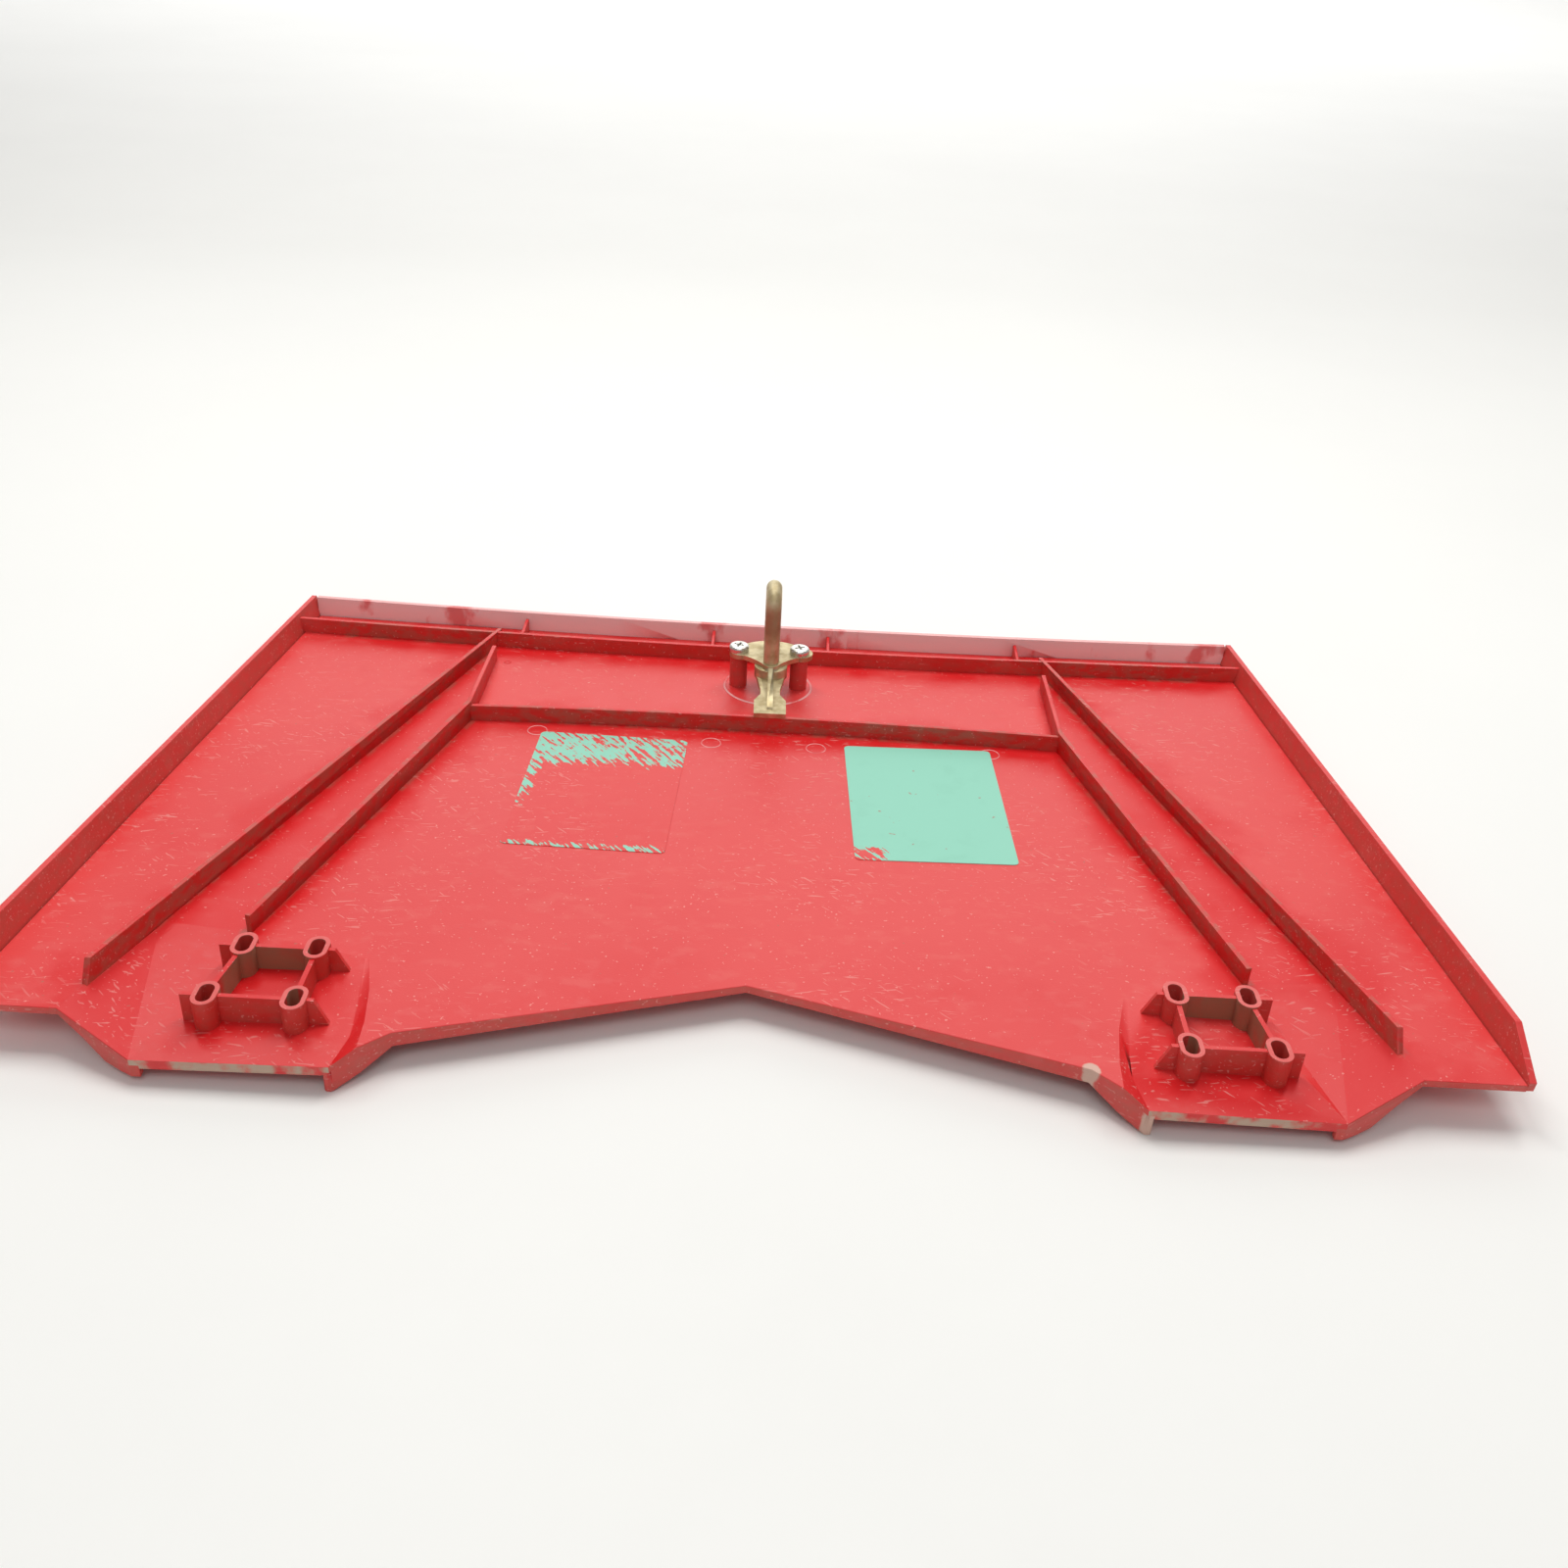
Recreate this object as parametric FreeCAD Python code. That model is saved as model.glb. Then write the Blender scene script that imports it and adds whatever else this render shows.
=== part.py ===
"""Hinged plastic hood panel, lying on its show face with its ribbed inside upwards.

Millimetres. X runs across the panel, Y from the hinge edge to the latch edge, Z up.
While a shape is drawn, y is counted from the front of the hinge noses; every shape is
moved back by half the depth as it is exported, which puts the origin under the middle.
The panel is one injection moulding. It is written out wall by wall, each wall a node of
its own, and the walls meet face to face.
"""
import FreeCAD, Part
import math
import os

os.makedirs("parts", exist_ok=True)
V = FreeCAD.Vector

# Driving dimensions of the moulding
DEPTH = 438.5            # hinge noses to the outer face of the rear wall
SKIN = 3.0               # thickness of the show skin
RIB = 2.6                # thickness of the ribs
REAR_WALL_TOP = 15.6
REAR_BOW = 8.2           # how far the rear edge curves in, in the middle
SIDE_HALF_FRONT = 331.0  # half width between the feet of the side walls, at the front
SIDE_TAPER = 0.0886      # how fast the side walls close in towards the rear
SIDE_HEIGHT = 14.0
SIDE_HEIGHT_FRONT = 1.5  # the side walls run out to almost nothing at the wings' front edges
SIDE_HEIGHT_REAR = 12.6
SIDE_KINK_Y = 44.5       # where the run-out ends
SIDE_LEAN = 3.0          # how far the side wall's top stands outside its foot
WING_FRONT = 18.0        # front edge of the wings
LIP = 3.5                # thickness of the turned-down front lip
WING_LIP = 3.8           # height of the lip along the wings' front edges
EDGE_T = 4.6             # thickness of the pockets' front edge
NOTCH_LIP = 4.6          # height of the lip at the middle notch
CORNER_LIP = 8.0         # at the centre panel's corners
SHOULDER_LIP = 14.5      # at the noses' shoulders
NOSE_RETURN = 3.0        # how far the lip turns in behind each nose tip
OUTER_LIP_Z = 3.0        # underside of the lip at the pockets' outer corners
OUTER_LIP_RETURN = 4.0
FLARE_LIP = ((0.85, OUTER_LIP_Z), (0.62, 4.2), (0.30, 12.6))  # share of the way up the flare, underside

# Slopes of the inside faces: each falls to the skin thickness at the rear wall
CENTRE_SLOPE = 0.0364
WING_SLOPE = 0.0463
POCKET_FRONT_Z = 12.3    # at the pocket's outer front corner
POCKET_RISE_BACK = 0.037
POCKET_RISE_IN = 0.020   # the pocket floor also rises towards the middle of the panel

# Plan of the creases, right-hand side: (x, y)
NOTCH = (0.0, 63.7)
PANEL_CORNER = (147.7, 18.4)
NOSE_SHOULDER = (159.5, 7.5)
NOSE_TIP = (169.5, 0.0)
POCKET_CORNER = (252.4, 0.0)
WING_CREASE = (287.5, WING_FRONT)
STEP_TOP = (NOSE_SHOULDER, (160.5, 24.5), (163.8, 46.0), (169.5, 68.5))
STEP_FOOT = (NOSE_TIP, (165.5, 18.5), (167.0, 40.0), (171.5, 69.0))
INNER_RIB_FRONT = (228.0, 84.0)
RIB_CORNER = (170.5, 302.4)
SHORT_RIB_REAR = (171.0, 370.0)
FACET_REAR = (164.0, DEPTH - SKIN)
REAR_RIB_Y = 409.0       # at its ends; its middle bows forward like the rear wall
CROSS_RIB_BOW = 4.8      # the cross rib bows backward
OUTER_RIB_FRONT_Y = 35.0

# Heights of the ribs
RIB_FOOT = 1.0           # below the skin, which trims the ribs
RIB_TOP_REAR = 14.0
OUTER_RIB_H = 11.3
RIB_END_SLANT = 22.0     # degrees, at the outer ribs' front ends
CORNER_H = 12.0
SHORT_RIB_REAR_H = 9.0
SHORT_RIB_OVERRUN = 14.0  # carries the short rib into the outer rib, which trims it
CROSS_RIB_H = 9.6
INNER_RIB_FRONT_H = 9.6

# Gussets between the rear rib and the rear wall
GUSSETS = {"outer": 158.0, "inner": 36.8}
GUSSET_T = 2.0
GUSSET_FRONT_DROP = 3.0  # below the rear rib's top
GUSSET_REAR_DROP = 4.0   # below the rear wall's top

# Hinge seats
BOSS_TOP = 28.3
BOSS_FOOT = 9.0          # below the pocket floor, which trims the seat
BOSS_X_INNER = 189.5
BOSS_X_OUTER = (227.0, 221.5)   # front row, back row
BOSS_Y = (26.0, 60.5)           # front row, back row
SLOT_WIDTH = 6.4
SLOT_LENGTH = 11.6
BOSS_WALL = 2.0
BOX_WALL = 2.2
BOX_TOP = BOSS_TOP - 0.8
FIN_T = 2.0
FIN_REACH = 8.5
FIN_TOP_SETBACK = 3.0
OVERLAP = 2.0            # how far joined shapes run into each other
TAB_REACH = 5.7

# Latch striker
PLATE_Z = 26.0
PLATE_T = 3.0
SCREW_X = 18.4
SCREW_Y = 367.2
POST_R = 5.3
PILOT_R = 2.55           # drilled hole for the screw
PILOT_BOTTOM = 8.0
ROD_R = 4.7
ROD_Y = (353.7, 372.7)
ROD_TOP = 77.0
HUB_R = 9.8
HUB_BOTTOM = 13.0
HUB_TAPER = 3.0          # the hub's foot is narrower by this radius
HUB_TAPER_H = 6.0
EAR_R = 6.8
STRIKER_SHIFT = 1.5
STRIKER_TURN = 1.2       # degrees
ARM_T = 3.0
FOOT_HALF = 9.3
FOOT_LENGTH = 16.0
NECK_HALF = 5.8
NECK_SET = 7.0           # from the foot to the neck
NECK_LENGTH = 6.0
WEB_T = 3.4
WEB_REAR_TOP = 2.6       # length of the web's level top
SCREW_CLEARANCE_R = 3.2
HEAD_R = 6.0
HEAD_H = 3.8
HEAD_ROUND = 1.8
RECESS_LENGTH = 6.0
RECESS_WIDTH = 1.2
RECESS_DEPTH = 1.8
RECESS_TURN = 20
SHANK_R = 2.5
SHANK_LENGTH = 18.0

# Labels
LABEL_WIDTH = 84.0
LABEL_LENGTH = 121.0
LABEL_T = 0.3
LABEL_ROUND = 3.0
LABEL_CENTRES = {"left": (-86.6, 230.3, -1.3), "right": (90.3, 234.8, 2.0)}


def centre_z(x, y):
    return SKIN + CENTRE_SLOPE * (DEPTH - y)


def wing_z(x, y):
    return SKIN + WING_SLOPE * (DEPTH - y)


def pocket_z(x, y):
    return POCKET_FRONT_Z + POCKET_RISE_BACK * y + POCKET_RISE_IN * (POCKET_CORNER[0] - abs(x))


def side_x(y):
    """Foot of the side wall's inner face."""
    return SIDE_HALF_FRONT - SIDE_TAPER * (y - WING_FRONT)


def on(level, *points):
    """Plan points lifted to a sloping level."""
    return [V(x, y, level(x, y)) for x, y in points]


def loop(points):
    return Part.makePolygon(list(points) + [points[0]])


def slab(points, thickness=SKIN):
    """A flat piece of skin: its inside face is the polygon, its show face is straight below."""
    return Part.Face(loop(points)).extrude(V(0, 0, -thickness))


def loft(first, second):
    """A solid ruled between two closed loops of corners."""
    return Part.makeLoft([loop(first), loop(second)], True, True)


def fuse(shapes):
    return shapes[0].multiFuse(shapes[1:])


def band(upper, lower):
    """Skin between two creases, in triangles, from one end to the other."""
    pieces = []
    for a, b, c, d in zip(upper, upper[1:], lower, lower[1:]):
        for corner in ((a, b, c), (b, d, c)):
            if abs((corner[1] - corner[0]).cross(corner[2] - corner[0]).z) > 1.0:
                pieces.append(slab(list(corner)))
    return fuse(pieces)


def wall(start, end, top_start, top_end, bottom, thickness=RIB):
    """An upright wall between two plan points, with its top at a height at each end."""
    run = V(end[0] - start[0], end[1] - start[1], 0)
    side = V(-run.y, run.x, 0).normalize() * (thickness / 2)

    def section(point, top):
        foot = V(point[0], point[1], bottom)
        head = V(point[0], point[1], top)
        return [foot - side, foot + side, head + side, head - side]

    return loft(section(start, top_start), section(end, top_end))


def bowed_wall(half, y, bow, bottom, top, thickness=RIB):
    """An upright wall across the panel, curved in plan: its middle stands further back than its ends by bow."""
    edges = []
    for offset, direction in ((-thickness / 2, 1), (thickness / 2, -1)):
        start = V(-half * direction, y + offset, bottom)
        end = V(half * direction, y + offset, bottom)
        edges.append(Part.Arc(start, V(0, y + offset + bow, bottom), end).toShape())
    edges.insert(1, Part.makeLine(V(half, y - thickness / 2, bottom), V(half, y + thickness / 2, bottom)))
    edges.append(Part.makeLine(V(-half, y + thickness / 2, bottom), V(-half, y - thickness / 2, bottom)))
    return Part.Face(Part.Wire(edges)).extrude(V(0, 0, top - bottom))


def stadium(x, y, width, length, bottom, top):
    """An upright oval bar, long along Y."""
    half = (length - width) / 2
    r = width / 2
    ends = [V(x + r, y - half, bottom), V(x + r, y + half, bottom),
            V(x - r, y + half, bottom), V(x - r, y - half, bottom)]
    edges = [Part.makeLine(ends[0], ends[1]),
             Part.Arc(ends[1], V(x, y + half + r, bottom), ends[2]).toShape(),
             Part.makeLine(ends[2], ends[3]),
             Part.Arc(ends[3], V(x, y - half - r, bottom), ends[0]).toShape()]
    return Part.Face(Part.Wire(edges)).extrude(V(0, 0, top - bottom))


def mirrored(shape):
    return shape.mirror(V(0, 0, 0), V(1, 0, 0))


def export(name, shape):
    solid = shape.Solids[0] if len(shape.Solids) == 1 else shape
    solid.translated(V(0, -DEPTH / 2, 0)).exportStep("parts/" + name + ".step")


def export_pair(name, shape):
    """The shape drawn at the right, and its mirror image at the left."""
    export(name + "_right", shape)
    export(name + "_left", mirrored(shape))


# Skin
wing_crease_far = (FACET_REAR[0], FACET_REAR[1])


def outer_rib_x(y):
    """The outer rib stands on the straight crease between wing and facet."""
    span = (y - WING_CREASE[1]) / (wing_crease_far[1] - WING_CREASE[1])
    return WING_CREASE[0] + span * (wing_crease_far[0] - WING_CREASE[0])


half_edge = [NOTCH, PANEL_CORNER, *STEP_TOP, INNER_RIB_FRONT, RIB_CORNER, SHORT_RIB_REAR, FACET_REAR]
other_edge = [(-x, y) for x, y in reversed(half_edge[1:])]
panel_centre = slab(on(centre_z, *half_edge, *other_edge))

wing = slab(on(wing_z, WING_CREASE, (side_x(WING_FRONT), WING_FRONT),
               (side_x(FACET_REAR[1]), FACET_REAR[1]), wing_crease_far))

facet_turns = [WING_CREASE[1], INNER_RIB_FRONT[1], RIB_CORNER[1], SHORT_RIB_REAR[1], FACET_REAR[1]]
facet_upper = on(wing_z, *[(outer_rib_x(y), y) for y in facet_turns])
facet_lower = on(pocket_z, POCKET_CORNER) + on(centre_z, INNER_RIB_FRONT, RIB_CORNER,
                                               SHORT_RIB_REAR, FACET_REAR)
facet = band(facet_upper, facet_lower)

pocket_floor = slab(on(pocket_z, *STEP_FOOT, INNER_RIB_FRONT, POCKET_CORNER))
pocket_step = band(on(centre_z, *STEP_TOP), on(pocket_z, *STEP_FOOT))
pocket_rear = band(on(centre_z, STEP_TOP[-1], INNER_RIB_FRONT),
                   on(pocket_z, STEP_FOOT[-1]) + on(centre_z, INNER_RIB_FRONT))
pocket = fuse([pocket_floor, pocket_step, pocket_rear])

# Between the two lips the pocket floor ends in a thick raw edge
nose_end = (NOSE_TIP[0] + NOSE_RETURN, 0)
lip_end = (POCKET_CORNER[0] - OUTER_LIP_RETURN, 0)
sill = loft(*[[V(x, y, pocket_z(x, y) - SKIN / 2), V(x, y + LIP, pocket_z(x, y) - SKIN / 2),
               V(x, y + LIP, pocket_z(x, y) - EDGE_T), V(x, y, pocket_z(x, y) - EDGE_T)]
              for x, y in (nose_end, lip_end)])
pocket = fuse([pocket, sill])

slots = [stadium(x, y, SLOT_WIDTH, SLOT_LENGTH, 0, BOSS_TOP + 1)
         for y, outer in zip(BOSS_Y, BOSS_X_OUTER) for x in (BOSS_X_INNER, outer)]
for slot in slots:
    pocket = pocket.cut(slot)


# The rear wall curves in, and the skin ends against it
rear_half = side_x(DEPTH) + SKIN / 2
rear_wall = bowed_wall(rear_half, DEPTH - SKIN / 2, -REAR_BOW, 0, REAR_WALL_TOP, SKIN)
BEHIND_T = 40.0          # a thick block with the rear wall's inner face, used only to cut
behind = bowed_wall(rear_half + 12, DEPTH - SKIN + BEHIND_T / 2, -REAR_BOW, -5, BEHIND_T, BEHIND_T)
panel_centre = panel_centre.cut(behind)
wing = wing.cut(behind)
facet = facet.cut(behind)
skins = [panel_centre, wing, facet, pocket, mirrored(wing), mirrored(facet), mirrored(pocket)]


def trimmed(shape, *neighbours):
    """What stands on the inside face of the skin, cut back to the walls it meets."""
    for other in list(skins) + list(neighbours):
        shape = shape.cut(other)
    return max(shape.Solids, key=lambda solid: solid.Volume)


# Front lip, turned down from the skin's front edge: (plan point, inside height, lip height)
def lip_section(point, inside, bottom):
    x, y = point
    top = inside - SKIN / 2
    return [V(x, y, top), V(x, y + LIP, top), V(x, y + LIP, bottom), V(x, y, bottom)]


def lip(stations):
    sections = [lip_section(*station) for station in stations]
    return trimmed(fuse([loft(a, b) for a, b in zip(sections, sections[1:])]))


nose_z = pocket_z(*NOSE_TIP)
lip_stations = [((0, NOTCH[1]), centre_z(*NOTCH), centre_z(*NOTCH) - NOTCH_LIP),
                (PANEL_CORNER, centre_z(*PANEL_CORNER), centre_z(*PANEL_CORNER) - CORNER_LIP),
                (NOSE_SHOULDER, centre_z(*NOSE_SHOULDER), centre_z(*NOSE_SHOULDER) - SHOULDER_LIP),
                (NOSE_TIP, nose_z, 0.0),
                (nose_end, pocket_z(*nose_end), 0.0)]
lip_right = lip(lip_stations)
lip_centre = fuse([lip_right, mirrored(lip_right)])


def along_flare(share):
    """A plan point on the slanted edge from the wing's crease to the pocket's corner."""
    return (WING_CREASE[0] + share * (POCKET_CORNER[0] - WING_CREASE[0]), WING_CREASE[1] * (1 - share))


def flare_z(share):
    return wing_z(*WING_CREASE) + share * (pocket_z(*POCKET_CORNER) - wing_z(*WING_CREASE))


wing_front = (side_x(WING_FRONT), WING_FRONT)
lip_outer = lip([(lip_end, pocket_z(*lip_end), OUTER_LIP_Z),
                 (POCKET_CORNER, pocket_z(*POCKET_CORNER), OUTER_LIP_Z)]
                + [(along_flare(share), flare_z(share), bottom) for share, bottom in FLARE_LIP]
                + [(WING_CREASE, wing_z(*WING_CREASE), wing_z(*WING_CREASE) - WING_LIP),
                   (wing_front, wing_z(*wing_front), wing_z(*wing_front) - WING_LIP)])

# Outer walls
def side_section(y, height):
    foot = side_x(y)
    inside = wing_z(foot, y)
    lean = SIDE_LEAN * height / SIDE_HEIGHT
    return [V(foot, y, inside - SKIN), V(foot + SKIN, y, inside - SKIN),
            V(foot + SKIN + lean, y, inside + height), V(foot + lean, y, inside + height)]


side_wall = fuse([loft(side_section(WING_FRONT, SIDE_HEIGHT_FRONT), side_section(SIDE_KINK_Y, SIDE_HEIGHT)),
                  loft(side_section(SIDE_KINK_Y, SIDE_HEIGHT), side_section(DEPTH, SIDE_HEIGHT_REAR))])

rear_wall = rear_wall.cut(side_wall).cut(mirrored(side_wall))
rear_wall = max(rear_wall.Solids, key=lambda solid: solid.Volume)

# Ribs, each cut off where it meets the one drawn before it
rear_rib = trimmed(bowed_wall(side_x(REAR_RIB_Y) + 2.5, REAR_RIB_Y, -REAR_BOW, RIB_FOOT, RIB_TOP_REAR),
                   side_wall, mirrored(side_wall))

outer_front_x = outer_rib_x(OUTER_RIB_FRONT_Y)
outer_front_z = wing_z(outer_front_x, OUTER_RIB_FRONT_Y)
outer_rib = wall((outer_front_x, OUTER_RIB_FRONT_Y), (outer_rib_x(REAR_RIB_Y), REAR_RIB_Y),
                 outer_front_z + OUTER_RIB_H, RIB_TOP_REAR, RIB_FOOT)
front_cut = Part.makeBox(60, 60, 60, V(outer_front_x - 30, OUTER_RIB_FRONT_Y - 60, outer_front_z))
front_cut.rotate(V(outer_front_x, OUTER_RIB_FRONT_Y, outer_front_z), V(1, 0, 0), -RIB_END_SLANT)
outer_rib = trimmed(outer_rib.cut(front_cut), rear_rib)

corner_top = centre_z(*RIB_CORNER) + CORNER_H
short_rib = trimmed(wall(RIB_CORNER, (SHORT_RIB_REAR[0], SHORT_RIB_REAR[1] + SHORT_RIB_OVERRUN),
                         corner_top, centre_z(*SHORT_RIB_REAR) + SHORT_RIB_REAR_H, RIB_FOOT), outer_rib)
cross_top = centre_z(*RIB_CORNER) + CROSS_RIB_H
cross_rib = trimmed(bowed_wall(RIB_CORNER[0], RIB_CORNER[1], CROSS_RIB_BOW, RIB_FOOT, cross_top),
                    short_rib, mirrored(short_rib))
inner_rib = trimmed(wall(INNER_RIB_FRONT, RIB_CORNER, centre_z(*INNER_RIB_FRONT) + INNER_RIB_FRONT_H,
                         corner_top, RIB_FOOT), cross_rib, short_rib)

gussets = {}
for place, x in GUSSETS.items():
    plate = wall((x, REAR_RIB_Y - REAR_BOW - OVERLAP), (x, DEPTH), RIB_TOP_REAR - GUSSET_FRONT_DROP,
                 REAR_WALL_TOP - GUSSET_REAR_DROP, RIB_FOOT, GUSSET_T)
    gussets[place] = trimmed(plate.cut(behind), rear_rib, rear_wall)

# Hinge seat: four slotted oval tubes, the walls that join them, and their fins
block_plan = ((150, -10), (280, -10), (280, 110), (150, 110))
floor_block = loft([V(x, y, -5) for x, y in block_plan], on(pocket_z, *block_plan))
tube_width = SLOT_WIDTH + 2 * BOSS_WALL
tube_length = SLOT_LENGTH + 2 * BOSS_WALL
tubes = []
joins = []
for y, outer in zip(BOSS_Y, BOSS_X_OUTER):
    for x in (BOSS_X_INNER, outer):
        tubes.append(stadium(x, y, tube_width, tube_length, BOSS_FOOT, BOSS_TOP))
    joins.append(wall((BOSS_X_INNER, y), (outer, y), BOX_TOP, BOX_TOP, BOSS_FOOT, BOX_WALL))
    # the fin towards the panel's middle slopes down to the floor, the outer tab is square
    reach = BOSS_X_INNER - tube_width / 2
    fin_foot = reach - FIN_REACH
    fin = [V(reach + OVERLAP, y, BOSS_FOOT), V(fin_foot, y, BOSS_FOOT),
           V(fin_foot, y, pocket_z(fin_foot, y)),
           V(reach - FIN_TOP_SETBACK, y, BOX_TOP), V(reach + OVERLAP, y, BOX_TOP)]
    joins.append(Part.Face(loop(fin)).extrude(V(0, FIN_T, 0)).translated(V(0, -FIN_T / 2, 0)))
    joins.append(wall((outer + 3, y), (outer + tube_width / 2 + TAB_REACH, y), BOX_TOP, BOX_TOP,
                      BOSS_FOOT, FIN_T))
for ends in ((BOSS_X_INNER, BOSS_X_INNER), BOSS_X_OUTER):
    joins.append(wall((ends[0], BOSS_Y[0]), (ends[1], BOSS_Y[1]), BOX_TOP, BOX_TOP, BOSS_FOOT, BOX_WALL))
boss = fuse(tubes + joins).cut(floor_block)
for slot in slots:
    boss = boss.cut(slot)
boss = boss.removeSplitter()

# Latch posts, drilled for the screws
post = Part.makeCylinder(POST_R, PLATE_Z - OVERLAP, V(SCREW_X, SCREW_Y, OVERLAP))
post = post.cut(Part.makeCylinder(PILOT_R, PLATE_Z, V(SCREW_X, SCREW_Y, PILOT_BOTTOM)))
post = trimmed(post)

# Striker bracket: flange, hub round the rod's feet, arm to the cross rib, stiffening web
flange_points = {
    "ear_front": V(SCREW_X - 1.5, SCREW_Y - EAR_R + 0.2, PLATE_Z),
    "ear_side": V(SCREW_X + EAR_R, SCREW_Y, PLATE_Z),
    "ear_rear": V(SCREW_X, SCREW_Y + EAR_R, PLATE_Z),
    "rear": V(0, ROD_Y[1] + 9.0, PLATE_Z),
    "hollow": V(9.5, ROD_Y[0] + 2.0, PLATE_Z),
    "apex_side": V(3.5, ROD_Y[0] - 5.6, PLATE_Z),
    "apex": V(0, ROD_Y[0] - 7.2, PLATE_Z),
}


def across(name):
    point = flange_points[name]
    return V(-point.x, point.y, point.z)


fp = flange_points
flange_edges = [
    Part.Arc(fp["ear_front"], fp["ear_side"], fp["ear_rear"]),
    Part.Arc(fp["ear_rear"], fp["rear"], across("ear_rear")),
    Part.Arc(across("ear_rear"), across("ear_side"), across("ear_front")),
    Part.Arc(across("ear_front"), across("hollow"), across("apex_side")),
    Part.Arc(across("apex_side"), fp["apex"], fp["apex_side"]),
    Part.Arc(fp["apex_side"], fp["hollow"], fp["ear_front"]),
]
flange = Part.Face(Part.Wire([edge.toShape() for edge in flange_edges])).extrude(V(0, 0, PLATE_T))
hub_y = ROD_Y[0] + 2.0
hub_waist = HUB_BOTTOM + HUB_TAPER_H
hub = Part.makeCone(HUB_R - HUB_TAPER, HUB_R, HUB_TAPER_H, V(0, hub_y, HUB_BOTTOM))
hub = hub.fuse(Part.makeCylinder(HUB_R, PLATE_Z - hub_waist, V(0, hub_y, hub_waist)))
arm_bottom = cross_top
foot_front = RIB_CORNER[1] + CROSS_RIB_BOW - RIB / 2 - 0.6
foot_rear = foot_front + FOOT_LENGTH
neck_y = foot_rear + NECK_SET
arm_half_plan = [(FOOT_HALF, foot_front), (FOOT_HALF, foot_rear), (NECK_HALF, neck_y),
                 (NECK_HALF, neck_y + NECK_LENGTH), (HUB_R - 1.5, ROD_Y[0] - 3.0)]
arm_plan = arm_half_plan + [(-x, y) for x, y in reversed(arm_half_plan)]
arm = Part.Face(loop([V(x, y, arm_bottom) for x, y in arm_plan])).extrude(V(0, 0, ARM_T))
web_rear = ROD_Y[0] - 4.0
web_top = PLATE_Z + PLATE_T - 0.6
web_side = [V(0, foot_front + 3, arm_bottom), V(0, web_rear, arm_bottom), V(0, web_rear, web_top),
            V(0, web_rear - WEB_REAR_TOP, web_top), V(0, foot_front + 5, arm_bottom + ARM_T + 1.6)]
web = Part.Face(loop(web_side)).extrude(V(WEB_T, 0, 0)).translated(V(-WEB_T / 2, 0, 0))
bracket = fuse([flange, hub, arm, web])


def as_fitted(shape):
    """The striker is set a little to the right in its clearance holes, and turned a little."""
    return shape.rotated(V(0, ROD_Y[0], 0), V(0, 0, 1), STRIKER_TURN).translated(V(STRIKER_SHIFT, 0, 0))


# Striker rod: one bar bent into a narrow upside-down U, both feet in the bracket
bend_r = (ROD_Y[1] - ROD_Y[0]) / 2
shoulder = ROD_TOP - ROD_R - bend_r
front_foot = V(0, ROD_Y[0], HUB_BOTTOM + 2)
rear_foot = V(0, ROD_Y[1], PLATE_Z)
front_shoulder = V(0, ROD_Y[0], shoulder)
rear_shoulder = V(0, ROD_Y[1], shoulder)
crown = V(0, (ROD_Y[0] + ROD_Y[1]) / 2, shoulder + bend_r)
rod_path = Part.Wire([Part.makeLine(front_foot, front_shoulder),
                      Part.Arc(front_shoulder, crown, rear_shoulder).toShape(),
                      Part.makeLine(rear_shoulder, rear_foot)])
rod_section = Part.Wire([Part.makeCircle(ROD_R, front_foot, V(0, 0, 1))])
rod = rod_path.makePipeShell([rod_section], True, False)
for y, bottom in zip(ROD_Y, (front_foot.z, rear_foot.z)):
    bracket = bracket.cut(Part.makeCylinder(ROD_R, 40, V(0, y, bottom)))
bracket = as_fitted(bracket)
rod = as_fitted(rod)
for side in (-1, 1):
    bracket = bracket.cut(Part.makeCylinder(SCREW_CLEARANCE_R, 20, V(side * SCREW_X, SCREW_Y, PLATE_Z - 5)))

# Screws: pan heads with a cross recess
head_z = PLATE_Z + PLATE_T
head_top = head_z + HEAD_H
head = Part.makeCylinder(HEAD_R, HEAD_H, V(SCREW_X, SCREW_Y, head_z))
head = head.makeFillet(HEAD_ROUND, [edge for edge in head.Edges if abs(edge.BoundBox.ZMin - head_top) < 0.01])
for turn in (0, 90):
    bar = Part.makeBox(RECESS_LENGTH, RECESS_WIDTH, HEAD_H,
                       V(SCREW_X - RECESS_LENGTH / 2, SCREW_Y - RECESS_WIDTH / 2, head_top - RECESS_DEPTH))
    bar.rotate(V(SCREW_X, SCREW_Y, 0), V(0, 0, 1), turn + RECESS_TURN)
    head = head.cut(bar)
shank = Part.makeCylinder(SHANK_R, SHANK_LENGTH, V(SCREW_X, SCREW_Y, head_z - SHANK_LENGTH))
screw = head.fuse(shank)


# Labels, thin sheets on the sloping middle panel
def label(x, y, turn):
    sheet = Part.makeBox(LABEL_WIDTH, LABEL_LENGTH, LABEL_T, V(-LABEL_WIDTH / 2, -LABEL_LENGTH / 2, 0))
    upright = [edge for edge in sheet.Edges if edge.BoundBox.ZLength > LABEL_T / 2]
    sheet = sheet.makeFillet(LABEL_ROUND, upright)
    sheet.rotate(V(0, 0, 0), V(0, 0, 1), turn)
    sheet.rotate(V(0, 0, 0), V(1, 0, 0), -math.degrees(math.atan(CENTRE_SLOPE)))
    return sheet.translated(V(x, y, centre_z(x, y)))


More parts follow.
